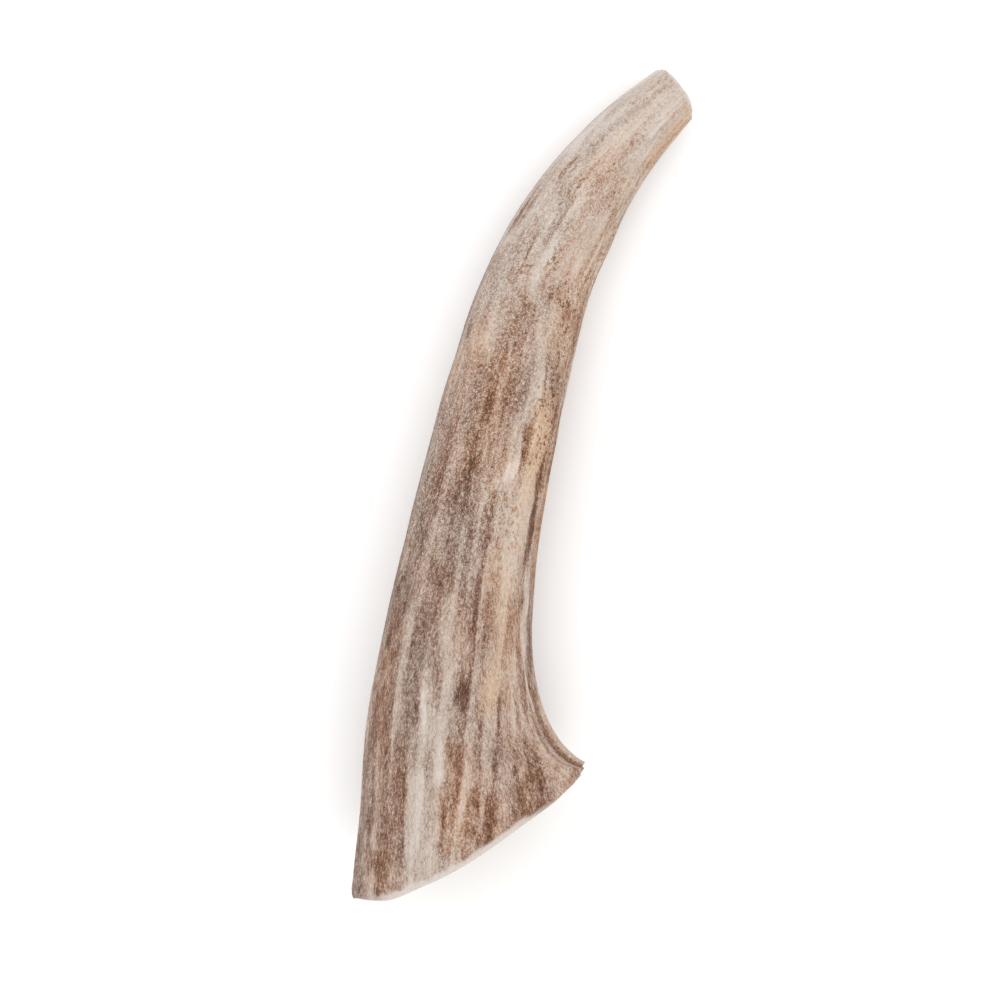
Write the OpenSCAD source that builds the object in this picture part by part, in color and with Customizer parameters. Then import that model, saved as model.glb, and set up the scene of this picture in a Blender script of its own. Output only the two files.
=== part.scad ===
// Sawn length of deer-antler tine, lying on its side on a flat surface.
// It is one natural piece of bone in three layers: a stained, weathered bark, a dense compact
// wall under it, and a spongy pith down the middle that shows at both cuts.
// +X runs from the base cut to the tip, +Y to the outside of the bend and +Z up. The origin is
// on the surface, under the middle of the bounding box.

/* [Shaft] */
// Length from the heel of the base cut to the tip
tine_length = 166.5; // [140:0.5:200]
// Width of the shaft at half its length
shaft_width = 24; // [20:0.5:28]
// Height of the shaft's section as a share of its usual height
roundness = 1; // [0.85:0.01:1.1]
// Height of the broad flats and swells around the shaft
swell = 0.35; // [0:0.05:0.6]
// Height at the base of the ribs that run along the shaft and fade out towards the tip
rib_height = 0.3; // [0:0.05:0.5]

/* [Base] */
// Length of shaft over which the base spreads to meet the main beam
flare_run = 29.5; // [26:0.5:40]
// How far the toe of the base would stand out from the shaft at the end of that run
flare_reach = 15; // [6:0.5:18]
// Angle in plan from the shaft to the way that the base cut faces
base_cut_turn = 43.5; // [20:0.5:55]
// Lean of the base cut, with its upper edge reaching further out
base_cut_lean = 25; // [0:0.5:28]

/* [Tip] */
// Angle in plan from the X axis to the way that the tip cut faces
tip_cut_turn = -39; // [-50:1:-20]
// Lean of the tip cut, with its upper edge reaching further out
tip_cut_lean = 12; // [0:0.5:20]

/* [Layers] */
// Thickness of the stained bark
bark_t = 0.7; // [0.4:0.1:1]
// How far the sanded bevel around each cut runs back along the shaft
bevel_run = 1.8; // [1:0.1:2.5]
// How deep that bevel is at the cut
bevel_drop = 1.1; // [1.1:0.1:2]
// Share of the shaft's half-height that is pith at the base cut
pith_base = 0.66; // [0.4:0.01:0.75]
// Share of the shaft's half-height that is pith at the tip cut
pith_tip = 0.36; // [0.15:0.01:0.5]

/* [Hidden] */

// Lengths and widths follow the two driving sizes, from the proportions drawn here.
DRAWN_LENGTH = 166.5;
DRAWN_WIDTH = 24;
along = tine_length / DRAWN_LENGTH;
across = shaft_width / DRAWN_WIDTH;

// The shaft's axis and section at stations along it: x, y, height of the underside above the
// surface, half-width, half-height. The first and last lie past the cuts, where they only
// steer the curve.
STATIONS = [
    [-54, -8.2, 0.8, 18.6, 16.4],
    [-36, -3.6, 0.5, 17.7, 15.8],
    [-18, 1.4, 0.3, 16.8, 15.2],
    [0, 5.8, 0.15, 15.7, 14.5],
    [18, 9.9, 0.3, 15.3, 13.9],
    [36, 12.8, 0.25, 14.2, 13.1],
    [54, 15.0, 0.05, 12.7, 12.2],
    [72, 16.1, 0.2, 11.6, 11.4],
    [90, 16.6, 0.4, 10.7, 10.6],
    [105, 16.1, 0.4, 9.8, 9.8],
    [119, 13.3, 0.2, 9.0, 8.8],
    [132, 8.7, 0.05, 7.5, 7.4],
    [144, 2.2, 0.3, 6.1, 6.0],
    [154, -4.8, 0.9, 4.7, 4.7],
    [164, -12.7, 1.6, 3.6, 3.6]
];
LAST = len(STATIONS) - 3;

// Middle of the bounding box, from the stations' own datum.
MIDDLE = [66.2 * along, 4.9 * across];

// Where the base and tip cuts cross the stations' plan, and the way each faces.
BASE_CUT = [[2.1 * along, 0.85 * across, 14.5 * across], facing(180 + base_cut_turn, base_cut_lean)];
TIP_CUT = [[146.7 * along, 0.0 * across, 6.8 * across], facing(tip_cut_turn, tip_cut_lean)];

// The flare starts this far along the shaft and swings out as a quarter of an ellipse.
FLARE_START = 42;
FLARE_SHARPNESS = 1.2;

// The ribs crowd together on the flanks and end at this place among the stations.
RIB_COUNT = 9;
RIB_CROWDING = 30;
RIBS_END = 8;

// How finely the surfaces are drawn.
TURNS = 72;
OUTER_RINGS = 34;
INNER_RINGS = 20;
RING_CROWDING = 1.2;
BISECTIONS = 26;
TANGENT_STEP = 0.02;

// Surfaces, from the outside in.
SKIN = 0;
UNDER_BARK = 1;
BEVEL_RIM = 2;
PITH_EDGE = 3;

function facing(turn, lean) = [cos(lean) * cos(turn), cos(lean) * sin(turn), -sin(lean)];

// A smooth curve through the stations. Whole values of q fall on them.
function drawn(q) =
    let (
        i = max(0, min(floor(q), len(STATIONS) - 4)),
        t = q - i,
        a = STATIONS[i],
        b = STATIONS[i + 1],
        c = STATIONS[i + 2],
        d = STATIONS[i + 3]
    )
    (2 * b + (c - a) * t + (2 * a - 5 * b + 4 * c - d) * t * t
        + (3 * b - a - 3 * c + d) * t * t * t) / 2;

// The last value of a station is its half-height, and the third is the height of its axis.
function station(q) =
    let (s = drawn(q), half_height = s[4] * across * roundness)
    [s[0] * along, s[1] * across, s[2] + half_height + unevenness(q, 270), s[3] * across, half_height];

function heading(q) =
    let (d = station(q + TANGENT_STEP) - station(q - TANGENT_STEP))
    atan2(d[1], d[0]);

// How far the surface stands out from a plain ellipse. The broad flats and swells turn slowly
// about the shaft, and the ribs run straight along it.
function unevenness(q, turn) =
    let (ribs = rib_height * max(0, 1 - q / RIBS_END))
    swell * (cos(2 * turn + 50 * q - 10) + 0.6 * cos(5 * turn - 35 + 9 * q))
        + ribs * cos(RIB_COUNT * turn + RIB_CROWDING * sin(2 * turn));

function flare(x, depth) =
    let (d = max(0, (FLARE_START * along - depth - x) / flare_run))
    flare_reach * (1 - sqrt(max(0, 1 - d * d)));

function pith_share(q) = pith_base + (pith_tip - pith_base) * q / LAST;

function depth_of(surface, q) =
    surface == SKIN ? 0
    : surface == UNDER_BARK ? bark_t
    : surface == BEVEL_RIM ? bevel_drop
    : (1 - pith_share(q)) * station(q)[4];

function point_on(surface, q, turn) =
    let (
        s = station(q),
        h = heading(q),
        depth = depth_of(surface, q),
        uneven = surface == PITH_EDGE ? 0 : unevenness(q, turn),
        spread = flare(s[0], depth) * pow(max(0, cos(turn)), FLARE_SHARPNESS),
        aside = (s[3] - depth + uneven) * cos(turn) + spread,
        up = (s[4] - depth + uneven) * sin(turn)
    )
    [s[0] + aside * sin(h), s[1] - aside * cos(h), s[2] + up];

// Distance of a point outside a cut's plane.
function outside(cut, p) = (p - cut[0]) * cut[1];

// Where a surface's line reaches the plane that lies the given distance inside a cut.
function reach(surface, turn, cut, inset, far, near, n = BISECTIONS) =
    n == 0 ? (far + near) / 2
    : let (q = (far + near) / 2)
      outside(cut, point_on(surface, q, turn)) > -inset
          ? reach(surface, turn, cut, inset, q, near, n - 1)
          : reach(surface, turn, cut, inset, far, q, n - 1);

// A surface stops short of a cut where it meets the bevel.
function short_of_cut(surface) =
    surface == SKIN ? bevel_run : surface == UNDER_BARK ? bevel_run * (1 - bark_t / bevel_drop) : 0;

function base_end(surface, turn) =
    reach(surface, turn, BASE_CUT, short_of_cut(surface), 0, LAST / 2);

function tip_end(surface, turn) =
    reach(surface, turn, TIP_CUT, short_of_cut(surface), LAST, LAST / 2);

function line(surface, turn, rings) =
    let (from = base_end(surface, turn), to = tip_end(surface, turn))
    [for (i = [0:rings]) point_on(surface, from + (to - from) * pow(i / rings, RING_CROWDING), turn)];

function reversed(list) = [for (i = [len(list) - 1:-1:0]) list[i]];

function angles() = [for (j = [0:TURNS - 1]) 360 * j / TURNS];

// The two triangles between places i and k of two neighbouring lines, whose points start at
// a and at b.
function cell(a, b, i, k) = [[a + i, b + k, a + k], [a + i, b + i, b + k]];

// A solid that runs right round the shaft, from closed loops of points, one for each angle.
module ring_solid(loops) {
    n = len(loops[0]);
    m = len(loops);
    polyhedron(
        points = [for (loop = loops) each loop],
        faces = [
            for (j = [0:m - 1], i = [0:n - 1])
                each cell(j * n, (j + 1) % m * n, i, (i + 1) % n)
        ]
    );
}

// A solid from open lines of points, one for each angle, closed by a point at each end.
module core_solid(lines, start, finish) {
    n = len(lines[0]);
    m = len(lines);
    polyhedron(
        points = concat([start, finish], [for (line = lines) each line]),
        faces = [
            for (j = [0:m - 1])
                let (a = 2 + j * n, b = 2 + (j + 1) % m * n)
                each concat(
                    [for (i = [0:n - 2]) each cell(a, b, i, i + 1)],
                    [[0, b, a], [1, a + n - 1, b + n - 1]]
                )
        ]
    );
}

// The point where the shaft's axis meets a cut.
function axis_at(cut, far, near, n = BISECTIONS) =
    let (q = (far + near) / 2, s = station(q), p = [s[0], s[1], s[2]])
    n == 0 ? p
    : outside(cut, p) > 0 ? axis_at(cut, q, near, n - 1) : axis_at(cut, far, q, n - 1);

module to_origin() {
    translate([-MIDDLE.x, -MIDDLE.y, 0]) children();
}

// Stained, weathered outer layer. It stops at the sanded bevel around each cut.
module bark() {
    color([0.70, 0.62, 0.55])
    to_origin()
    ring_solid([
        for (turn = angles())
            concat(line(SKIN, turn, OUTER_RINGS), reversed(line(UNDER_BARK, turn, INNER_RINGS)))
    ]);
}

// Dense bone under the bark. Its bevels and end faces show at the cuts.
module compact_wall() {
    color([0.86, 0.83, 0.79])
    to_origin()
    ring_solid([
        for (turn = angles())
            concat(
                line(UNDER_BARK, turn, INNER_RINGS),
                [point_on(BEVEL_RIM, tip_end(BEVEL_RIM, turn), turn)],
                reversed(line(PITH_EDGE, turn, INNER_RINGS)),
                [point_on(BEVEL_RIM, base_end(BEVEL_RIM, turn), turn)]
            )
    ]);
}

// Spongy bone down the middle, narrowing towards the tip.
module pith_core() {
    color([0.72, 0.60, 0.48])
    to_origin()
    core_solid(
        [for (turn = angles()) line(PITH_EDGE, turn, INNER_RINGS)],
        axis_at(BASE_CUT, 0, LAST / 2),
        axis_at(TIP_CUT, LAST, LAST / 2)
    );
}

bark();
compact_wall();
pith_core();
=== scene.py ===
"""Looks of a sawn length of deer-antler tine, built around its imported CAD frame.

The bark, the compact wall and the pith are rebuilt as fine meshes on the same stations and cuts
as the CAD solids, with the ribs, grooves and pores of real antler on them. Lengths are in
millimetres and angles in degrees, until a mesh is made in metres.
"""

from collections import namedtuple

import bpy
import numpy as np
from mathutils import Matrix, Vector


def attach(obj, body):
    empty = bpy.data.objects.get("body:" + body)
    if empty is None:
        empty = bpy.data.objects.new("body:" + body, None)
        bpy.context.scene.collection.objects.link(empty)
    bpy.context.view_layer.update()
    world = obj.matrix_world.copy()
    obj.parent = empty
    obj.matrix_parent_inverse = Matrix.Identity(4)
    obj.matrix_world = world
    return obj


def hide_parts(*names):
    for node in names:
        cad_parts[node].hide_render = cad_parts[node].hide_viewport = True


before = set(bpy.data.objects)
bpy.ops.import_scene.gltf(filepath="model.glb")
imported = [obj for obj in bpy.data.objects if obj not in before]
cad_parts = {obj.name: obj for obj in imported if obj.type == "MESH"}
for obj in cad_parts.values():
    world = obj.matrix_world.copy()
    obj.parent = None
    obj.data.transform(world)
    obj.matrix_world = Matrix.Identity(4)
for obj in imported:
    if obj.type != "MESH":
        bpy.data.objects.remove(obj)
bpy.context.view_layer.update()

METRES = 0.001

# ---------------------------------------------------------------- shape, as in the CAD part

# x, y, height of the underside, half-width, half-height
STATIONS = np.array([
    [-54, -8.2, 0.8, 18.6, 16.4],
    [-36, -3.6, 0.5, 17.7, 15.8],
    [-18, 1.4, 0.3, 16.8, 15.2],
    [0, 5.8, 0.15, 15.7, 14.5],
    [18, 9.9, 0.3, 15.3, 13.9],
    [36, 12.8, 0.25, 14.2, 13.1],
    [54, 15.0, 0.05, 12.7, 12.2],
    [72, 16.1, 0.2, 11.6, 11.4],
    [90, 16.6, 0.4, 10.7, 10.6],
    [105, 16.1, 0.4, 9.8, 9.8],
    [119, 13.3, 0.2, 9.0, 8.8],
    [132, 8.7, 0.05, 7.5, 7.4],
    [144, 2.2, 0.3, 6.1, 6.0],
    [154, -4.8, 0.9, 4.7, 4.7],
    [164, -12.7, 1.6, 3.6, 3.6],
])
LAST = len(STATIONS) - 3
MIDDLE = np.array([66.2, 4.9, 0.0])

SWELL = 0.35
RIB_HEIGHT = 0.3
RIB_COUNT = 9
RIB_CROWDING = 30
RIBS_END = 8
FLARE_START = 42
FLARE_RUN = 29.5
FLARE_REACH = 15
FLARE_SHARPNESS = 1.2
BARK_T = 0.7
BEVEL_RUN = 1.8
BEVEL_DROP = 1.1
PITH_BASE = 0.66
PITH_TIP = 0.36
TANGENT_STEP = 0.02
BISECTIONS = 30

# What the looks add to the CAD shape: how far the rim of the base cut is rounded in beside the
# toe, how much the grooves beside the toe and on the tip's outer side are filled, and how deep and
# how high the growth relief may be.
TOE_ROUNDING = 1.0
TOE_FILL = 0.45
TIP_FILL = 0.35
LOWEST_RELIEF = -0.45
HIGHEST_RELIEF = 0.55

SKIN, UNDER_BARK, BEVEL_RIM, PITH_EDGE = range(4)

Cut = namedtuple("Cut", "place facing")


def cosine(degrees):
    return np.cos(np.radians(degrees))


def sine(degrees):
    return np.sin(np.radians(degrees))


def facing(turn, lean):
    level = cosine(lean)
    return np.array([level * cosine(turn), level * sine(turn), -sine(lean)])


BASE_CUT = Cut(np.array([2.1, 0.85, 14.5]), facing(180 + 43.5, 25))
TIP_CUT = Cut(np.array([146.7, 0.0, 6.8]), facing(-39, 12))


def drawn(q):
    """A smooth curve through the stations. Whole values of q fall on them."""
    i = np.clip(np.floor(q), 0, len(STATIONS) - 4).astype(int)
    t = (q - i)[..., None]
    a, b, c, d = (STATIONS[i + k] for k in range(4))
    return (2 * b + (c - a) * t + (2 * a - 5 * b + 4 * c - d) * t**2 + (3 * b - a - 3 * c + d) * t**3) / 2


def unevenness(q, turn):
    ribs = RIB_HEIGHT * np.maximum(0, 1 - q / RIBS_END)
    flats = cosine(2 * turn + 50 * q - 10) + 0.6 * cosine(5 * turn - 35 + 9 * q)
    return SWELL * flats + ribs * cosine(RIB_COUNT * turn + RIB_CROWDING * sine(2 * turn))


def station(q):
    s = drawn(q)
    s[..., 2] += s[..., 4] + unevenness(q, 270.0)
    return s


def heading(q):
    d = station(q + TANGENT_STEP) - station(q - TANGENT_STEP)
    return np.degrees(np.arctan2(d[..., 1], d[..., 0]))


def flare(x, depth):
    d = np.maximum(0, (FLARE_START - depth - x) / FLARE_RUN)
    return FLARE_REACH * (1 - np.sqrt(np.maximum(0, 1 - d * d)))


def depth_of(surface, q):
    if surface == PITH_EDGE:
        return (1 - PITH_BASE - (PITH_TIP - PITH_BASE) * q / LAST) * station(q)[..., 4]
    return {SKIN: 0.0, UNDER_BARK: BARK_T, BEVEL_RIM: BEVEL_DROP}[surface]


def point_on(surface, q, turn):
    s = station(q)
    h = heading(q)
    depth = depth_of(surface, q)
    uneven = 0 if surface == PITH_EDGE else unevenness(q, turn)
    spread = flare(s[..., 0], depth) * np.maximum(0, cosine(turn)) ** FLARE_SHARPNESS
    aside = (s[..., 3] - depth + uneven) * cosine(turn) + spread
    up = (s[..., 4] - depth + uneven) * sine(turn)
    return np.stack([s[..., 0] + aside * sine(h), s[..., 1] - aside * cosine(h), s[..., 2] + up], -1)


def outside(cut, points):
    return (points - cut.place) @ cut.facing


def top_or_underside(turn):
    """1 on the top and the underside, and 0 at the sides."""
    return ramp(np.abs(sine(turn)), 0.62, 0.88)


def worn(cut, turn):
    """How wide the sanding is at each angle round a cut, as a share of the CAD bevel's run."""
    ragged = 0.05 * sine(7 * turn) + 0.04 * sine(17 * turn + 40)
    from_toe = np.minimum(turn, 360 - turn)
    if cut is TIP_CUT:
        low_outer_side = ramp(turn, 165, 190) * (1 - ramp(turn, 230, 260))
        return 0.25 + 0.15 * (1 - ramp(from_toe, 40, 75)) + 0.35 * low_outer_side + ragged
    toe = ramp(from_toe, 2, 26) * (1 - 0.5 * ramp(from_toe, 25, 31)) * (1 - ramp(from_toe, 36, 48))
    heel = ramp(turn, 120, 140) * (1 - ramp(turn, 150, 162))
    return 0.25 + 0.4 * top_or_underside(turn) + 0.7 * toe + 0.35 * heel + ragged


def rounded_toe(cut, turn):
    """How far the rim of a cut is rounded in at each angle round it."""
    from_toe = np.minimum(turn, 360 - turn)
    beside_toe = ramp(from_toe, 3, 16) * (1 - ramp(from_toe, 26, 44))
    return TOE_ROUNDING * beside_toe if cut is BASE_CUT else 0 * turn


def short_of_cut(surface, turn, cut):
    """How far a surface stops short of a cut. The bevel is straight from the skin to the rim."""
    if surface not in (SKIN, UNDER_BARK):
        return 0 * turn
    depth = 0.0 if surface == SKIN else BARK_T
    drop = BEVEL_DROP + rounded_toe(cut, turn)
    return BEVEL_RUN * worn(cut, turn) * (1 - depth / drop)


def reach(surface, turn, cut, far):
    """Where a surface's lines, one for each angle, meet the cut or its bevel."""
    far = np.full(turn.shape, float(far))
    near = np.full(turn.shape, LAST / 2)
    for _ in range(BISECTIONS):
        q = (far + near) / 2
        beyond = outside(cut, point_on(surface, q, turn)) > -short_of_cut(surface, turn, cut)
        far = np.where(beyond, q, far)
        near = np.where(beyond, near, q)
    return (far + near) / 2


def grid_places(surface, turn, fractions):
    """The q of each point of a grid that runs from the base cut to the tip cut."""
    start = reach(surface, turn, BASE_CUT, 0)
    end = reach(surface, turn, TIP_CUT, LAST)
    return start + (end - start) * fractions[:, None]


def axis_point(cut, far):
    """Where the shaft's axis meets a cut."""
    near = LAST / 2
    for _ in range(BISECTIONS):
        q = (far + near) / 2
        beyond = outside(cut, station(np.array(q))[:3]) > 0
        far, near = (q, near) if beyond else (far, q)
    return station(np.array((far + near) / 2))[:3]


# ---------------------------------------------------------------- lines of growth

AXIS_Q = np.linspace(-1, LAST + 1, 3000)
AXIS_STEPS = np.linalg.norm(np.diff(drawn(AXIS_Q)[:, :2], axis=0), axis=1)
AXIS_RUN = np.concatenate([[0], np.cumsum(AXIS_STEPS)])
AXIS_RUN -= np.interp(2, AXIS_Q, AXIS_RUN)

# Towards the toe the lines of growth fan out by this share, from where the fan starts.
FAN = 0.6
FAN_RUN = 46
# Lines past this share of the half-width keep their spacing instead of turning under the toe.
LEVEL_SHARE = 0.8
# The outermost lines, at these angles from the toe's edge, follow the outline.
EDGE_LINES = (30, 58)


def run_along(q):
    """Length along the axis, from the station at x = 0."""
    return np.interp(q, AXIS_Q, AXIS_RUN)


def side_share(q, turn):
    """How far towards the toe's side a point is, as a share of the half-width."""
    s = station(q)
    return cosine(turn) + flare(s[..., 0], 0) * np.maximum(0, cosine(turn)) ** FLARE_SHARPNESS / s[..., 3]


def fanned_share(q, turn):
    """The share that a point's line of growth has before the fan spreads it."""
    share = side_share(q, turn)
    fan = FAN * np.maximum(0, (FLARE_START - station(q)[..., 0]) / FAN_RUN) ** 2
    return share / (1 + fan * ramp(share, -0.3, 0.6))


def growth_lines(q, turn):
    """The angle round the shaft that each point's line of growth keeps, in radians, for the lines
    on the shaft and for those along the toe's edge, and how far the second ones take over."""
    share = fanned_share(q, turn)
    slope = 1 / np.sqrt(1 - LEVEL_SHARE**2)
    angle = np.arccos(np.clip(share, -1, LEVEL_SHARE)) - slope * np.maximum(0, share - LEVEL_SHARE)
    shaft = np.where(sine(turn) < 0, 2 * np.pi - angle, angle)
    from_toe = np.minimum(turn, 360 - turn)
    return shaft, np.radians(turn), 1 - ramp(from_toe, *EDGE_LINES)


# ---------------------------------------------------------------- random fields

FIELD_AROUND = 1024
FIELD_ALONG = 1024
FIELD_GIRTH = 94.0
FIELD_LENGTH = 200.0
FIELD_START = -30.0


def field(seed, across, along):
    """A random pattern of unit spread, over angle and length, in blotches of the given sizes."""
    white = np.random.default_rng(seed).standard_normal((FIELD_AROUND, FIELD_ALONG))
    waves_across = np.fft.fftfreq(FIELD_AROUND, FIELD_GIRTH / FIELD_AROUND)[:, None]
    waves_along = np.fft.fftfreq(FIELD_ALONG, FIELD_LENGTH / FIELD_ALONG)[None, :]
    gain = np.exp(-2 * np.pi**2 * ((waves_across * across) ** 2 + (waves_along * along) ** 2))
    smooth = np.fft.ifft2(np.fft.fft2(white) * gain).real
    return smooth / smooth.std()


def sample(pattern, lines, run):
    """Reads a random pattern along lines of growth, at lengths along the shaft."""
    shaft, edge, edge_share = lines
    return read(pattern, shaft, run) * (1 - edge_share) + read(pattern, edge, run) * edge_share


def read(pattern, angle, run):
    """Reads a random pattern at angles round the shaft, in radians, and lengths along it."""
    a = angle / (2 * np.pi) * FIELD_AROUND
    b = (run - FIELD_START) / FIELD_LENGTH * FIELD_ALONG
    a0 = np.floor(a).astype(int)
    b0 = np.floor(b).astype(int)
    fa = a - a0
    fb = b - b0
    rows = [a0 % FIELD_AROUND, (a0 + 1) % FIELD_AROUND]
    columns = [b0 % FIELD_ALONG, (b0 + 1) % FIELD_ALONG]
    low = pattern[rows[0], columns[0]] * (1 - fb) + pattern[rows[0], columns[1]] * fb
    high = pattern[rows[1], columns[0]] * (1 - fb) + pattern[rows[1], columns[1]] * fb
    return low * (1 - fa) + high * fa


def ramp(value, low, high):
    """0 below low, 1 above high and a smooth step between them."""
    t = np.clip((value - low) / (high - low), 0, 1)
    return t * t * (3 - 2 * t)


def crisp(pattern):
    """A random pattern with flatter heights and hollows and sharper edges between them."""
    return np.tanh(1.5 * pattern) * 1.3


# ---------------------------------------------------------------- marks, painted shade and a painted highlight on the top side

# A stroke runs from one length along the shaft to another, and from one share of the half-width
# to another, positive towards the toe's side. The strength is signed: dark above 0, pale below.
# Most strokes are marks in the skin's own colour. One dark stroke on the toe's side of the tip is
# painted shade, and one pale stroke on the tip is a painted highlight.
Stroke = namedtuple("Stroke", "start end side_start side_end width strength")

STROKES = [
    # base: dark
    Stroke(47, 28, 0.16, 0.21, 2.0, 0.7),
    Stroke(26, 21, 0.13, 0.16, 2.0, 1.3),
    Stroke(14, 12, 0.12, 0.15, 2.8, 0.6),
    Stroke(8, 2, 0.11, 0.08, 3.4, 1.5),
    Stroke(0, -10, 0.04, -0.03, 2.2, 1.1),
    Stroke(5, -6, 0.37, 0.34, 2.6, 1.0),
    Stroke(21, 12, 0.47, 0.48, 0.9, 0.9),
    Stroke(25, 14, 0.67, 0.66, 1.2, 1.0),
    Stroke(12, -3, 0.64, 0.63, 1.7, 1.0),
    Stroke(39, 33, 0.71, 0.67, 1.0, 0.8),
    Stroke(46, 24, 0.88, 1.05, 0.9, 0.6),
    Stroke(40, 26, 0.95, 1.12, 0.7, 0.5),
    Stroke(17, 3, 0.95, 1.10, 6.0, 0.8),
    Stroke(14, 2, 1.10, 1.22, 1.6, 0.5),
    Stroke(2, -3, -0.50, -0.47, 1.2, 1.0),
    Stroke(-7, -13, -0.70, -0.64, 2.2, 0.6),
    Stroke(-4, -12, -0.30, -0.28, 0.9, 0.6),
    Stroke(46, 24, -0.92, -0.74, 4.5, 0.5),
    Stroke(22, -8, -0.82, -0.72, 6.0, 0.35),
    Stroke(24, 18, -0.41, -0.39, 0.9, 0.8),
    # base: pale
    Stroke(28, 10, -0.32, -0.06, 3.0, -1.0),
    Stroke(9, -9, -0.26, -0.20, 4.6, -0.7),
    Stroke(47, 28, -0.10, -0.06, 1.8, -0.5),
    Stroke(48, 18, 0.30, 0.23, 0.8, -1.0),
    Stroke(42, 27, 0.52, 0.57, 3.2, -0.6),
    Stroke(19, 2, 0.32, 0.24, 1.8, -0.8),
    Stroke(33, 4, 0.80, 0.82, 1.6, -0.8),
    Stroke(8, -8, 0.20, 0.13, 1.2, -0.9),
    Stroke(22, 2, 0.57, 0.53, 1.6, -0.7),
    Stroke(44, 22, 0.93, 1.10, 0.6, -0.9),
    Stroke(38, 18, -0.62, -0.55, 1.6, -0.5),
    # middle: dark
    Stroke(98, 80, -0.10, -0.02, 6.5, 0.7),
    Stroke(80, 61, -0.03, -0.25, 6.0, 0.6),
    Stroke(60, 46, -0.27, -0.30, 6.0, 0.3),
    Stroke(82, 60, 0.94, 0.86, 1.2, 1.4),
    Stroke(62, 44, 0.86, 0.82, 1.3, 1.2),
    Stroke(77, 73, 0.50, 0.53, 1.8, 1.0),
    Stroke(90, 84, 0.62, 0.66, 1.2, 0.7),
    Stroke(66, 52, -0.72, -0.80, 3.0, 0.4),
    # middle: pale
    Stroke(88, 70, 0.48, 0.36, 1.8, -0.8),
    Stroke(73, 62, 0.46, 0.10, 1.6, -1.0),
    Stroke(60, 46, 0.10, 0.06, 1.2, -0.8),
    Stroke(70, 47, 0.55, 0.48, 6.0, -0.7),
    Stroke(84, 75, 0.68, 0.72, 4.5, -0.5),
    Stroke(92, 66, -0.62, -0.50, 1.8, -0.6),
    Stroke(100, 92, -0.70, -0.64, 3.0, -0.5),
    Stroke(100, 86, 0.42, 0.58, 4.5, -0.5),
    # tip: dark
    Stroke(123, 113, -0.17, -0.20, 1.4, 1.0),
    Stroke(120, 113, -0.87, -0.86, 0.9, 1.0),
    Stroke(112, 107, -0.42, -0.36, 1.0, 0.8),
    Stroke(128, 124, -0.62, -0.58, 1.2, 0.6),
    Stroke(104, 102, 0.40, 0.85, 3.4, 0.9),
    Stroke(104, 101, -0.46, 0.00, 2.6, 0.7),
    # painted shade: the toe's side of the tip darkened where the light falls away from it
    Stroke(148, 92, 0.95, 0.95, 3.0, 0.6),
    Stroke(134, 133, -0.22, -0.22, 1.0, 0.8),
    Stroke(130, 127, -0.23, -0.23, 1.4, 0.8),
    # tip: pale
    # painted highlight: a short pale streak along the tip, a little towards the toe's side
    Stroke(148, 143, 0.42, 0.36, 0.8, -1.2),
]

# Patches of warm tan: the same terms as a stroke. The last two, on the toe's side of the tip, are painted
# shade.
TAN_PATCHES = [
    Stroke(29, 23, 0.48, 0.46, 4.0, 0.9),
    Stroke(72, 47, 0.50, 0.50, 7.0, 0.25),
    Stroke(86, 72, 0.66, 0.70, 5.0, 0.8),
    Stroke(42, 28, 0.55, 0.57, 4.0, 0.3),
    # painted shade: a darker olive-tan tint on the toe's side of the tip
    Stroke(150, 138, 0.85, 0.85, 3.0, 0.6),
    Stroke(130, 90, 0.85, 0.90, 4.0, 0.5),
]

STROKE_FEATHER = 2.0

# Length along the shaft, and how dark the skin is there on the outside of the bend, down the
# middle and on the toe's side.
SHADES = np.array([
    [5, 0.8, -0.8, 0.7],
    [20, 0.75, -0.5, 0.5],
    [38, 0.65, 0.4, -0.2],
    [52, 0.6, 0.35, -0.15],
    [70, 0.5, 0.0, 0.15],
    [88, 0.35, -0.15, 0.05],
    [98, -0.1, -0.85, -0.6],
    [108, -0.8, -1.3, -1.2],
    [125, -0.8, -1.3, -1.2],
    [148, -2.15, -1.7, -1.5],
])


def stroke_mask(stroke, run, share, half_width, wobble):
    """How strongly a stroke shows at each point, from 0 to 1."""
    t = np.clip((run - stroke.start) / (stroke.end - stroke.start), 0, 1)
    centre = stroke.side_start + (stroke.side_end - stroke.side_start) * t
    across = np.abs((share - centre) * half_width + wobble) / (stroke.width / 2)
    past = np.abs(run - (stroke.start + (stroke.end - stroke.start) * t)) / STROKE_FEATHER
    return np.exp(-(across**4)) * np.exp(-(past**2))


def shade(run, share):
    """The broad light and dark of the skin, from the table of shades."""
    outer, middle, toe_side = (np.interp(run, SHADES[:, 0], SHADES[:, k]) for k in (1, 2, 3))
    to_outer = ramp(-share, 0.2, 0.75)
    to_toe_side = ramp(share, 0.2, 0.75)
    return middle + (outer - middle) * to_outer + (toe_side - middle) * to_toe_side


def strokes(marks_and_painted_light, run, share, half_width, wobble, top):
    total = np.zeros(run.shape)
    for one_stroke in marks_and_painted_light:
        total += one_stroke.strength * stroke_mask(one_stroke, run, share, half_width, wobble)
    return total * top


# ---------------------------------------------------------------- surface of the bark

def zones(run):
    """How strongly the base, the middle and the tip each show at lengths along the shaft."""
    base = 1 - ramp(run, 40, 62)
    tip = ramp(run, 88, 108)
    return base, 1 - base - tip, tip


def trough_fill(run, turn):
    """What evens out the two grooves beside the toe's edge and the one on the tip's outer side."""
    from_toe = np.minimum(turn, 360 - turn)
    beside_toe = ramp(from_toe, 3, 15) * (1 - ramp(from_toe, 20, 33)) * (1 - ramp(run, 40, 62))
    outer_side = ramp(from_toe, 140, 165) * ramp(run, 118, 140)
    return TOE_FILL * beside_toe + TIP_FILL * outer_side


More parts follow.
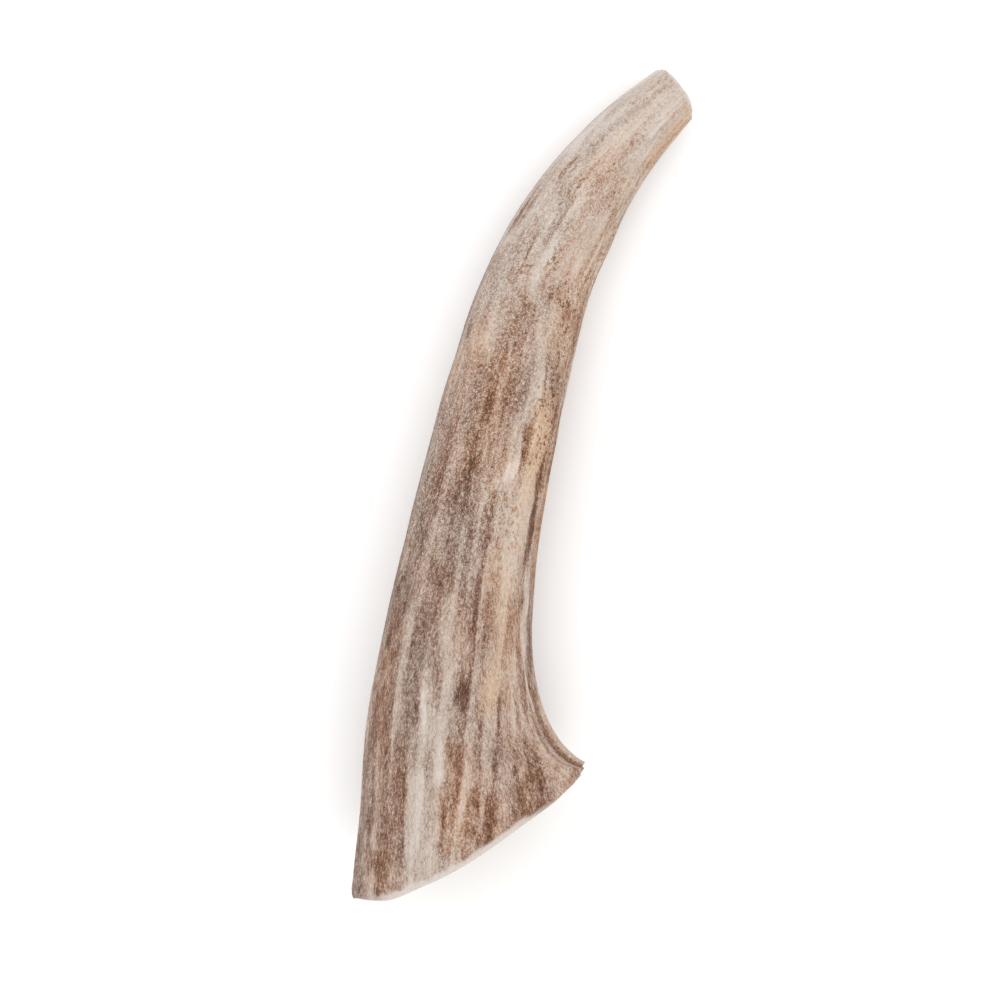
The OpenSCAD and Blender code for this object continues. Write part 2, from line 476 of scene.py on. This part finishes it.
def bark_surface(q, turn):
    """Relief in millimetres, and the patterns that the material reads, at points on the skin."""
    run = run_along(q)
    lines = growth_lines(q, turn)
    base, middle, tip = zones(run)
    bend = 0.03 * sample(field(11, 5.0, 16.0), lines, run)
    shift = 1.5 * sample(field(12, 3.0, 6.0), lines, run)
    lines = (lines[0] + bend, lines[1] + bend, lines[2])
    place = run
    run = run + shift

    ridges = sample(field(21, 0.9, 11.0), lines, run)
    threads = sample(field(22, 0.42, 6.0), lines, run)
    blotches = crisp(sample(field(23, 1.5, 3.6), lines, run))
    streaks = crisp(sample(field(24, 0.6, 8.0), lines, run))
    dashes = sample(field(25, 0.42, 1.5), lines, run)
    lumps = sample(field(26, 2.2, 3.5), lines, run)
    mottle = crisp(sample(field(28, 1.2, 1.8), lines, run))
    warm = sample(field(27, 2.2, 6.0), lines, run)
    pit_patches = ramp(sample(field(29, 1.8, 3.2), lines, run), -0.3, 1.6)

    top = ramp(sine(turn), -0.7, -0.3)
    share = side_share(q, turn)
    half_width = station(q)[..., 3]
    wobble = (0.15 * base + 0.3) * threads + (0.12 * base + 0.4 * middle + 0.3 * tip) * blotches
    # The strokes include painted shade on the toe's side of the tip and a painted highlight on the tip.
    marks_and_painted_light = strokes(STROKES, place, share, half_width, wobble, top)
    # The tan patches include painted shade on the toe's side of the tip.
    tan = strokes(TAN_PATCHES, place, share, half_width, wobble, top)

    relief = (0.15 * base + 0.08 * middle + 0.03 * tip) * ridges
    relief += (0.05 * base + 0.035 * middle + 0.015 * tip) * threads
    relief += (0.02 * base + 0.05 * middle + 0.05 * tip) * lumps
    relief -= 0.10 * np.clip(marks_and_painted_light, -1, 1)
    relief += trough_fill(place, turn)
    relief = np.clip(relief, LOWEST_RELIEF, HIGHEST_RELIEF)

    stain = -0.25 * ridges * (base + 0.4 * middle) - 0.15 * threads * (base + middle)
    stain += streaks * (0.50 * base + 0.24 * middle + 0.05 * tip + 0.3 * base * lines[2])
    stain += blotches * (0.05 * base + 0.34 * middle + 0.34 * tip)
    stain += (0.34 * mottle + 0.2 * lumps) * tip
    stain += dashes * (0.36 * base + 0.36 * middle + 0.20 * tip)
    # The strokes go into the stain with their painted shade on the toe's side of the tip and their
    # painted highlight on the tip.
    stain += (1.3 + 0.5 * np.clip(dashes, -1, 1)) * marks_and_painted_light
    end = ramp(place, 125, 148)
    stain *= 1 - 0.3 * end
    upper = ramp(place, 88, 98) * (1 - ramp(place, 114, 126))
    warmth = 0.30 - 0.08 * base + 0.11 * middle - 0.12 * tip - 0.15 * end
    warmth += 0.22 * warm + 0.25 * tan
    # Painted light: a cooler tint towards the outside of the bend and a warmer one towards the toe's
    # side, strongest just above the middle, stands in for the colour of the light across the shaft.
    warmth += (0.12 + 0.04 * middle + 0.25 * upper) * np.clip(share, -1, 1)
    warmth += (0.12 + 0.16 * tip) * np.maximum(0, stain) - 0.05 * tip
    # Broad darker and paler bands along the shaft and across it, from the table of shades.
    stain += shade(place, share)
    speckle = 0.86 * base + 1.15 * middle + 0.96 * tip - 0.15 * end
    return {
        "relief": relief,
        "stain": stain,
        "warmth": warmth,
        "tan": np.clip((tan + 0.4 * middle * ramp(share, 0.2, 0.8)) * (1 + 0.3 * warm), 0, 1),
        "speckle": speckle * np.clip(0.95 + 0.22 * stain + 0.2 * tip, 0.5, 1.35),
        "pitted": pit_patches * (0.2 * base + 0.8 * middle + 1.2 * tip - 0.7 * end) + middle * tan,
        "grain": growth_space(q, turn),
    }


def grain_run(run):
    """Length along the shaft as the fine grain has it: drawn out at the base, less at the tip."""
    t = np.clip((run - 30) / 60, 0, 1)
    return 0.4 * run + 0.5 * (30 * t**2 + np.maximum(0, run - 90))


def growth_space(q, turn):
    """A place for each point in which the lines of growth are straight, for noise along them."""
    half_width = station(q)[..., 3]
    aside = fanned_share(q, turn) * half_width
    return np.stack([aside, point_on(SKIN, q, turn)[..., 2], grain_run(run_along(q))], -1)


# ---------------------------------------------------------------- meshes

AROUND = 340
TURN = np.arange(AROUND) * 360.0 / AROUND
SHARP_ANGLE = 58
EDGE_ROWS = [0, 0.0007, 0.0016, 0.003]
SKIN_ROWS = 236
# Rows of the surfaces inside, closer together at the base, where they curve most.
HIDDEN_ROWS = 40
HIDDEN_PLACES = np.linspace(0, 1, HIDDEN_ROWS) ** 1.8
# How far the grain moves on from row to row over the bark's end faces.
END_GRAIN_STEP = 0.2


def rows_with_fine_edges(count):
    inner = np.linspace(0.005, 0.995, count)
    return np.concatenate([EDGE_ROWS, inner, 1 - np.array(EDGE_ROWS[::-1])])


def between(a, b, shares):
    """Loops of points on straight lines from loop a to loop b."""
    return a + (b - a) * np.asarray(shares)[:, None, None]


def add_mesh(name, points, faces, patterns):
    """A smooth-shaded object from points in the stations' datum, with named patterns per point."""
    mesh = bpy.data.meshes.new(name)
    mesh.from_pydata(((points - MIDDLE) * METRES).tolist(), [], faces)
    for key, values in patterns.items():
        kind, part = ("FLOAT_VECTOR", "vector") if values.ndim == 2 else ("FLOAT", "value")
        attribute = mesh.attributes.new(key, kind, "POINT")
        attribute.data.foreach_set(part, values.ravel().astype(np.float32))
    mesh.shade_smooth()
    mesh.set_sharp_from_angle(angle=np.radians(SHARP_ANGLE))
    mesh.validate()
    piece = bpy.data.objects.new(name, mesh)
    bpy.context.collection.objects.link(piece)
    return piece


def ring_faces(rows, columns):
    """Faces of a solid that closes on itself both along its rows and around them."""
    r = np.arange(rows)[:, None]
    c = np.arange(columns)[None, :]
    r1 = (r + 1) % rows
    c1 = (c + 1) % columns
    corners = [r * columns + c, r1 * columns + c, r1 * columns + c1, r * columns + c1]
    return np.stack(np.broadcast_arrays(*corners), -1).reshape(-1, 4).tolist()


def core_faces(rows, columns):
    """Faces of a solid whose rows run from one end point to another, which come first."""
    r = np.arange(rows - 1)[:, None]
    c = np.arange(columns)[None, :]
    c1 = (c + 1) % columns
    row = 2 + r * columns
    corners = [row + c, row + columns + c, row + columns + c1, row + c1]
    sides = np.stack(np.broadcast_arrays(*corners), -1).reshape(-1, 4).tolist()
    last = 2 + (rows - 1) * columns
    near = [(0, 2 + k, 2 + (k + 1) % columns) for k in range(columns)]
    far = [(1, last + (k + 1) % columns, last + k) for k in range(columns)]
    return sides + near + far


def grid_normals(points):
    """Unit normals of a grid of points that closes around its rows, outwards from the shaft."""
    along = np.gradient(points, axis=0)
    around = (np.roll(points, -1, axis=1) - np.roll(points, 1, axis=1)) / 2
    normal = np.cross(along, around)
    return normal / np.linalg.norm(normal, axis=-1, keepdims=True)


def rubbed_near(cut, points, turn):
    """How far the stain is rubbed off the skin next to a cut's bevel, from 0 to 1."""
    inside = -outside(cut, points) - short_of_cut(SKIN, turn, cut)
    ragged = 0.12 * sine(23 * turn) + 0.12 * sine(41 * turn + 70)
    return 0.85 * (1 - ramp(inside + ragged, 0.0, 0.6)) * (0.15 + 0.85 * top_or_underside(turn))


def make_bark():
    q = grid_places(SKIN, TURN, rows_with_fine_edges(SKIN_ROWS))
    turn = np.broadcast_to(TURN, q.shape)
    surface = bark_surface(q, turn)
    points = point_on(SKIN, q, turn)
    skin = points + grid_normals(points) * surface.pop("relief")[..., None]
    rubbed = np.maximum(rubbed_near(BASE_CUT, points, turn), rubbed_near(TIP_CUT, points, turn))

    under_q = grid_places(UNDER_BARK, TURN, HIDDEN_PLACES)
    under = point_on(UNDER_BARK, under_q, np.broadcast_to(TURN, under_q.shape))
    steps = [0.08, 0.25, 0.5, 0.75]
    tip_face = between(skin[-1], under[-1], steps)
    base_face = between(under[0], skin[0], 1 - np.array(steps[::-1]))
    loops = np.concatenate([skin, tip_face, under[::-1], base_face])

    half = len(steps) + HIDDEN_ROWS // 2
    drift = END_GRAIN_STEP * np.arange(1, half + 1)
    bare_tip = np.ones((half, AROUND))
    bare_base = np.repeat([0.2 + 0.8 * top_or_underside(TURN)], half, 0)
    patterns = {"sanded": np.concatenate([rubbed, bare_tip, bare_base]).ravel()}
    for key, values in surface.items():
        whole = np.concatenate([values, np.repeat(values[-1:], half, 0), np.repeat(values[:1], half, 0)])
        if key == "grain":
            whole[len(skin):, :, 2] += np.concatenate([drift, -drift[::-1]])[:, None]
        patterns[key] = whole.reshape(-1, 3) if values.ndim == 3 else whole.ravel()
    return add_mesh("bark_skin", loops.reshape(-1, 3), ring_faces(len(loops), AROUND), patterns)


# Cells of the spongy bone: their spacing, their depth and how thick the walls between them are.
CELL_SPACING = 1.25
CELL_DEPTH = 0.42
CELL_WALL = 0.16
CELL_SLOPE = 0.42


def cells(flat, seed):
    """How deep in a cell of spongy bone each flat point is, from 0 on a wall to 1."""
    rng = np.random.default_rng(seed)
    side = 64
    jitter = rng.uniform(0.08, 0.92, (side, side, 2))
    spot = flat / CELL_SPACING + side / 2
    home = np.floor(spot).astype(int)
    distances = []
    for dx in (-1, 0, 1):
        for dy in (-1, 0, 1):
            cell = np.clip(home + [dx, dy], 0, side - 1)
            seed_point = cell + jitter[cell[..., 0], cell[..., 1]]
            distances.append(np.linalg.norm(spot - seed_point, axis=-1))
    nearest = np.sort(np.stack(distances), axis=0)
    gap = (nearest[1] - nearest[0]) * CELL_SPACING
    return ramp(gap, CELL_WALL, CELL_WALL + CELL_SLOPE)


def cut_axes(cut):
    """Two directions that lie in a cut."""
    level = np.cross([0, 0, 1], cut.facing)
    level /= np.linalg.norm(level)
    return level, np.cross(cut.facing, level)


def on_cut(cut, middle, points):
    """Places of points across a cut and out of it, from its middle."""
    level, up = cut_axes(cut)
    return np.stack([(points - middle) @ axis for axis in (level, up, cut.facing)], -1)


def cut_pores(cut, middle, points, sponge, seed):
    """Presses cells into points on a cut. sponge is how spongy the bone is at each, from 0 to 1."""
    flat = on_cut(cut, middle, points)
    pore = cells(flat[..., :2], seed) * sponge
    return points - cut.facing * (CELL_DEPTH * pore)[..., None], pore, flat


def sponge_in_pith(share):
    """share runs from 0 at the axis to 1 at the edge of the pith."""
    return 0.65 + 0.35 * ramp(share, 0.0, 0.3)


def sponge_in_wall(share):
    """share runs from 0 at the edge of the pith to 1 at the rim of the cut."""
    return (1 - ramp(share, 0.0, 0.38)) * 0.8


def make_pith():
    q = grid_places(PITH_EDGE, TURN, HIDDEN_PLACES)
    side = point_on(PITH_EDGE, q, np.broadcast_to(TURN, q.shape))
    shares = np.linspace(0, 1, 52)[1:]
    loops = []
    pores = []
    flats = []
    middles = []
    for cut, far, edge, seed in ((BASE_CUT, 0.0, side[0], 41), (TIP_CUT, float(LAST), side[-1], 42)):
        middle = axis_point(cut, far)
        face = between(np.broadcast_to(middle, edge.shape), edge, shares)
        sponge = (sponge_in_pith(shares) * (1 - 0.2 * shares**8))[:, None]
        pressed, pore, flat = cut_pores(cut, middle, face, sponge, seed)
        loops.append(pressed)
        pores.append(pore)
        flats.append(flat)
        middles.append(middle)
    inner = side[1:-1]
    rows = np.concatenate([loops[0], inner, loops[1][::-1]])
    hidden = np.zeros(inner.shape[:2])
    pore = np.concatenate([pores[0], hidden, pores[1][::-1]]).ravel()
    flat = np.concatenate([flats[0], np.zeros(inner.shape), flats[1][::-1]]).reshape(-1, 3)
    points = np.concatenate([middles, rows.reshape(-1, 3)])
    patterns = {
        "pore": np.concatenate([[0, 0], pore]),
        "flat": np.concatenate([np.zeros((2, 3)), flat]),
    }
    return add_mesh("pith_sponge", points, core_faces(len(rows), AROUND), patterns)


def make_wall():
    turn = np.broadcast_to(TURN, (HIDDEN_ROWS, AROUND))
    outer = point_on(UNDER_BARK, grid_places(UNDER_BARK, TURN, HIDDEN_PLACES), turn)
    inner = point_on(PITH_EDGE, grid_places(PITH_EDGE, TURN, HIDDEN_PLACES), turn)
    bevel_steps = np.array([0.03, 0.35, 0.7, 0.97])
    face_shares = np.concatenate([[0, 0.02, 0.05], np.linspace(0.09, 1, 26)])
    parts = {}
    for key, cut, far, row in (("base", BASE_CUT, 0.0, 0), ("tip", TIP_CUT, float(LAST), -1)):
        rim = point_on(BEVEL_RIM, reach(BEVEL_RIM, TURN, cut, far), TURN)
        inward = inner[row] - rim
        inward /= np.linalg.norm(inward, axis=-1, keepdims=True)
        rim += inward * rounded_toe(cut, TURN)[:, None]
        middle = axis_point(cut, far)
        face = between(rim, inner[row], face_shares)
        sponge = sponge_in_wall(1 - face_shares)[:, None]
        pressed, pore, flat = cut_pores(cut, middle, face, sponge, 41 if key == "base" else 42)
        bevel = between(outer[row], rim, bevel_steps)
        parts[key] = (bevel, on_cut(cut, middle, bevel), pressed, pore, flat)
    tip_bevel, tip_bevel_flat, tip_face, tip_pore, tip_flat = parts["tip"]
    base_bevel, base_bevel_flat, base_face, base_pore, base_flat = parts["base"]
    loops = np.concatenate([
        outer,
        tip_bevel,
        tip_face,
        inner[::-1][1:-1],
        base_face[::-1],
        base_bevel[::-1],
    ])

    def spread(tip_bevel_value, tip_value, base_value, base_bevel_value):
        return np.concatenate([
            np.ones((HIDDEN_ROWS, AROUND)),
            tip_bevel_value,
            tip_value,
            np.ones((HIDDEN_ROWS - 2, AROUND)),
            base_value[::-1],
            base_bevel_value[::-1],
        ]).ravel()

    none = np.zeros(tip_bevel.shape[:2])
    flat = [
        spread(tip_bevel_flat[..., k], tip_flat[..., k], base_flat[..., k], base_bevel_flat[..., k])
        for k in range(3)
    ]
    patterns = {
        "pore": spread(none, tip_pore, base_pore, none),
        "bevel": spread(none + 1, np.zeros(tip_pore.shape), np.zeros(base_pore.shape), none + 1),
        "flat": np.column_stack(flat),
    }
    return add_mesh("compact_bone_wall", loops.reshape(-1, 3), ring_faces(len(loops), AROUND), patterns)


# ---------------------------------------------------------------- materials

def paint(red, green, blue):
    """A colour as it is named on a screen, from 0 to 255, made linear."""
    c = np.array([red, green, blue]) / 255
    linear = np.where(c <= 0.04045, c / 12.92, ((c + 0.055) / 1.055) ** 2.4)
    return (*linear.tolist(), 1.0)


class Finish:
    """One material and short names for building its nodes."""

    def __init__(self, name, roughness_low, roughness_high, specular):
        self.material = bpy.data.materials.new(name)
        self.material.use_nodes = True
        self.tree = self.material.node_tree
        self.shader = self.tree.nodes["Principled BSDF"]
        self.shader.inputs["Specular IOR Level"].default_value = specular
        self.roughness_span = (roughness_low, roughness_high)

    def add(self, kind, **settings):
        node = self.tree.nodes.new(kind)
        for key, value in settings.items():
            setattr(node, key, value)
        return node

    def feed(self, node, key, value):
        if isinstance(value, bpy.types.NodeSocket):
            self.tree.links.new(value, node.inputs[key])
        else:
            node.inputs[key].default_value = value

    def pattern(self, name, output="Fac"):
        return self.add("ShaderNodeAttribute", attribute_name=name).outputs[output]

    def scaled(self, vector, scale):
        node = self.add("ShaderNodeVectorMath", operation="MULTIPLY")
        self.feed(node, 0, vector)
        self.feed(node, 1, scale)
        return node.outputs[0]

    def noise(self, vector, scale, detail=2.0, roughness=0.5):
        node = self.add("ShaderNodeTexNoise")
        self.feed(node, "Vector", vector)
        self.feed(node, "Scale", scale)
        self.feed(node, "Detail", detail)
        self.feed(node, "Roughness", roughness)
        return node.outputs["Fac"]

    def sum(self, *terms):
        total = terms[0]
        for term in terms[1:]:
            node = self.add("ShaderNodeMath", operation="ADD")
            self.feed(node, 0, total)
            self.feed(node, 1, term)
            total = node.outputs[0]
        return total

    def times(self, a, b):
        node = self.add("ShaderNodeMath", operation="MULTIPLY")
        self.feed(node, 0, a)
        self.feed(node, 1, b)
        return node.outputs[0]

    def span(self, value, low, high, to_low=0.0, to_high=1.0):
        node = self.add("ShaderNodeMapRange", clamp=True)
        for key, number in (("Value", value), ("From Min", low), ("From Max", high)):
            self.feed(node, key, number)
        self.feed(node, "To Min", to_low)
        self.feed(node, "To Max", to_high)
        return node.outputs[0]

    def folded(self, value):
        """How far a value is from the middle: small along thin lines of a noise."""
        away = self.add("ShaderNodeMath", operation="SUBTRACT")
        self.feed(away, 0, value)
        self.feed(away, 1, 0.5)
        size = self.add("ShaderNodeMath", operation="ABSOLUTE")
        self.feed(size, 0, away.outputs[0])
        return size.outputs[0]

    def colours(self, value, stops):
        node = self.add("ShaderNodeValToRGB")
        elements = node.color_ramp.elements
        while len(elements) < len(stops):
            elements.new(1.0)
        for element, (place, colour) in zip(elements, stops):
            element.position = place
            element.color = colour
        self.feed(node, "Fac", value)
        return node.outputs["Color"]

    def mixed(self, share, a, b):
        node = self.add("ShaderNodeMix", data_type="RGBA")
        self.feed(node, 0, share)
        self.feed(node, 6, a)
        self.feed(node, 7, b)
        return node.outputs[2]

    def bump(self, height, distance, normal=None):
        node = self.add("ShaderNodeBump")
        self.feed(node, "Height", height)
        self.feed(node, "Distance", distance * METRES)
        self.feed(node, "Strength", 1.0)
        if normal is not None:
            self.feed(node, "Normal", normal)
        return node.outputs["Normal"]

    def finish(self, colour, wear, normal):
        self.feed(self.shader, "Base Color", colour)
        self.feed(self.shader, "Roughness", self.span(wear, 0, 1, *self.roughness_span))
        self.feed(self.shader, "Normal", normal)
        return self.material


def bark_finish():
    """Weathered bone: taupe and cream ground, brown and rusty stain with painted shade and a painted
    highlight in it, fine dashes over all.
    """
    f = Finish("stained bark", 0.48, 0.78, 0.3)
    grain = f.pattern("grain", "Vector")
    # This pattern holds painted shade and a painted highlight as well as stain.
    stain = f.pattern("stain")
    speckle = f.pattern("speckle")
    dashes = f.noise(f.scaled(grain, (1, 1, 0.8)), 2.3, 3.0, 0.65)
    curls = f.noise(grain, 1.6, 3.0, 0.7)
    grit = f.noise(grain, 5.2, 2.0, 0.6)
    hue = f.noise(grain, 2.8, 2.0, 0.6)
    holes = f.times(f.span(f.noise(grain, 1.35, 1.0, 0.5), 0.57, 0.67), f.pattern("pitted"))
    stipple = f.sum(
        f.span(dashes, 0.30, 0.70, -0.95, 0.95),
        f.span(grit, 0.32, 0.68, -0.95, 0.95),
        f.span(f.folded(curls), 0.0, 0.06, 0.65, -0.10),
    )
    tone = f.sum(
        f.times(stain, 0.13),
        f.times(f.times(stipple, speckle), 0.20),
        f.times(holes, 0.25),
        0.42,
    )
    cool = f.colours(tone, [
        (0.00, paint(194, 185, 178)),
        (0.28, paint(171, 157, 146)),
        (0.48, paint(142, 123, 111)),
        (0.66, paint(112, 90, 78)),
        (0.84, paint(86, 65, 55)),
        (1.00, paint(66, 48, 40)),
    ])
    rust = f.colours(tone, [
        (0.00, paint(199, 180, 164)),
        (0.28, paint(180, 154, 133)),
        (0.48, paint(154, 120, 97)),
        (0.66, paint(126, 87, 63)),
        (0.84, paint(99, 64, 44)),
        (1.00, paint(77, 48, 33)),
    ])
    warmth = f.sum(
        f.pattern("warmth"),
        f.span(hue, 0.34, 0.66, -0.4, 0.4),
        holes,
    )
    skin = f.mixed(f.span(warmth, 0.0, 1.0), cool, rust)
    bone = f.colours(grit, [(0.35, paint(176, 165, 158)), (0.65, paint(200, 190, 184))])
    # The tan also carries painted shade on the toe's side of the tip.
    tanned = f.mixed(f.pattern("tan"), skin, f.scaled(skin, (1.02, 0.97, 0.87)))
    colour = f.mixed(f.pattern("sanded"), tanned, bone)
    fine = f.bump(grit, 0.05)
    rough = f.bump(dashes, 0.10, fine)
    normal = f.bump(f.span(holes, 0.0, 1.0, 0.0, -1.0), 0.12, rough)
    return f.finish(colour, f.span(tone, 0.1, 0.8), normal)


def wall_finish():
    """Dense bone, sanded at the bevel and sawn across at the cut."""
    f = Finish("compact bone", 0.42, 0.62, 0.4)
    flat = f.pattern("flat", "Vector")
    pore = f.pattern("pore")
    saw = f.noise(f.scaled(flat, (0.35, 5.0, 1.0)), 1.0, 2.0, 0.6)
    cloud = f.noise(flat, 0.5, 3.0, 0.6)
    dots = f.noise(flat, 3.6, 1.0, 0.4)
    face = f.colours(f.sum(f.times(saw, 0.35), f.times(cloud, 0.65)), [
        (0.30, paint(186, 175, 160)),
        (0.55, paint(203, 194, 181)),
        (0.75, paint(214, 207, 196)),
    ])
    spotted = f.mixed(f.span(dots, 0.64, 0.74), face, paint(150, 130, 108))
    stained = f.mixed(f.span(pore, 0.0, 0.8), spotted, paint(116, 90, 70))
    grit = f.noise(flat, 5.2, 2.0, 0.6)
    sanded = f.colours(grit, [(0.35, paint(176, 165, 158)), (0.65, paint(200, 190, 184))])
    colour = f.mixed(f.pattern("bevel"), stained, sanded)
    normal = f.bump(saw, 0.04)
    return f.finish(colour, cloud, normal)


def pith_finish():
    """Spongy bone: pale tan walls and dark cells."""
    f = Finish("spongy pith", 0.60, 0.85, 0.25)
    flat = f.pattern("flat", "Vector")
    pore = f.pattern("pore")
    cloud = f.noise(flat, 0.6, 3.0, 0.6)
    crumbs = f.noise(flat, 5.0, 2.0, 0.6)
    depth = f.sum(pore, f.span(crumbs, 0.3, 0.7, -0.12, 0.12))
    colour = f.colours(depth, [
        (0.00, paint(196, 180, 156)),
        (0.25, paint(172, 149, 121)),
        (0.60, paint(116, 88, 64)),
        (1.00, paint(66, 46, 32)),
    ])
    dusty = f.mixed(f.span(cloud, 0.35, 0.75, 0.0, 0.35), colour, paint(140, 112, 86))
    normal = f.bump(crumbs, 0.06)
    return f.finish(dusty, depth, normal)


# ---------------------------------------------------------------- stage, light and camera

# The camera looks straight down, with the shaft's +X this far above the right of the picture.
PICTURE_TURN = 74.25
PICTURE_MIDDLE = (-3.4, 6.9, 13.0)
PICTURE_WIDTH = 190.0
LENS = 500.0
SENSOR = 36.0
CAMERA_HEIGHT = LENS * PICTURE_WIDTH / SENSOR

# The soft light from all sides, and a weak key light: where it stands in the picture's own
# directions, and its distance and size in metres.
WORLD_LIGHT = 1.43
KEY_FROM = (-0.6, 0.6, 1.5)
KEY_DISTANCE = 1.6
KEY_SIZE = 0.9
KEY_POWER = 1.0


def make_camera():
    data = bpy.data.cameras.new("camera")
    data.lens = LENS
    data.sensor_width = SENSOR
    data.clip_start = 0.05
    data.clip_end = 20
    camera = bpy.data.objects.new("camera", data)
    x, y, z = PICTURE_MIDDLE
    camera.location = Vector((x, y, z + CAMERA_HEIGHT)) * METRES
    camera.rotation_euler = (0, 0, -np.radians(PICTURE_TURN))
    bpy.context.collection.objects.link(camera)
    bpy.context.scene.camera = camera


def picture_direction(right, up, height):
    """A direction given by the picture's right and up, and by height above the floor."""
    a = -np.radians(PICTURE_TURN)
    return Vector((
        right * np.cos(a) - up * np.sin(a),
        right * np.sin(a) + up * np.cos(a),
        height,
    ))


def make_light(name, direction, distance, size, power):
    data = bpy.data.lights.new(name, "AREA")
    data.shape = "DISK"
    data.size = size
    data.energy = power
    light = bpy.data.objects.new(name, data)
    place = direction.normalized() * distance
    light.location = place
    light.rotation_mode = "QUATERNION"
    light.rotation_quaternion = place.to_track_quat("Z", "Y")
    bpy.context.collection.objects.link(light)


def make_world(strength):
    world = bpy.data.worlds.new("soft box")
    world.use_nodes = True
    background = world.node_tree.nodes["Background"]
    background.inputs["Color"].default_value = (1.0, 1.0, 1.0, 1.0)
    background.inputs["Strength"].default_value = strength
    bpy.context.scene.world = world


def make_floor():
    half = 1.5
    corners = [(-half, -half, 0), (half, -half, 0), (half, half, 0), (-half, half, 0)]
    mesh = bpy.data.meshes.new("floor")
    mesh.from_pydata(corners, [], [(0, 1, 2, 3)])
    floor = bpy.data.objects.new("floor", mesh)
    floor.location.z = -0.0002
    bpy.context.collection.objects.link(floor)
    material = bpy.data.materials.new("white paper")
    material.use_nodes = True
    shader = material.node_tree.nodes["Principled BSDF"]
    shader.inputs["Base Color"].default_value = paint(243, 243, 243)
    shader.inputs["Roughness"].default_value = 0.9
    shader.inputs["Specular IOR Level"].default_value = 0.1
    mesh.materials.append(material)


# ---------------------------------------------------------------- scene

make_camera()
make_floor()
make_world(WORLD_LIGHT)
make_light("key", picture_direction(*KEY_FROM), KEY_DISTANCE, KEY_SIZE, KEY_POWER)
bpy.context.scene.view_settings.view_transform = "Standard"

bark = make_bark()
bark.data.materials.append(bark_finish())
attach(bark, "root")
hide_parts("bark")

wall = make_wall()
wall.data.materials.append(wall_finish())
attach(wall, "root")
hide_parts("compact_wall")

pith = make_pith()
pith.data.materials.append(pith_finish())
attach(pith, "root")
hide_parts("pith_core")
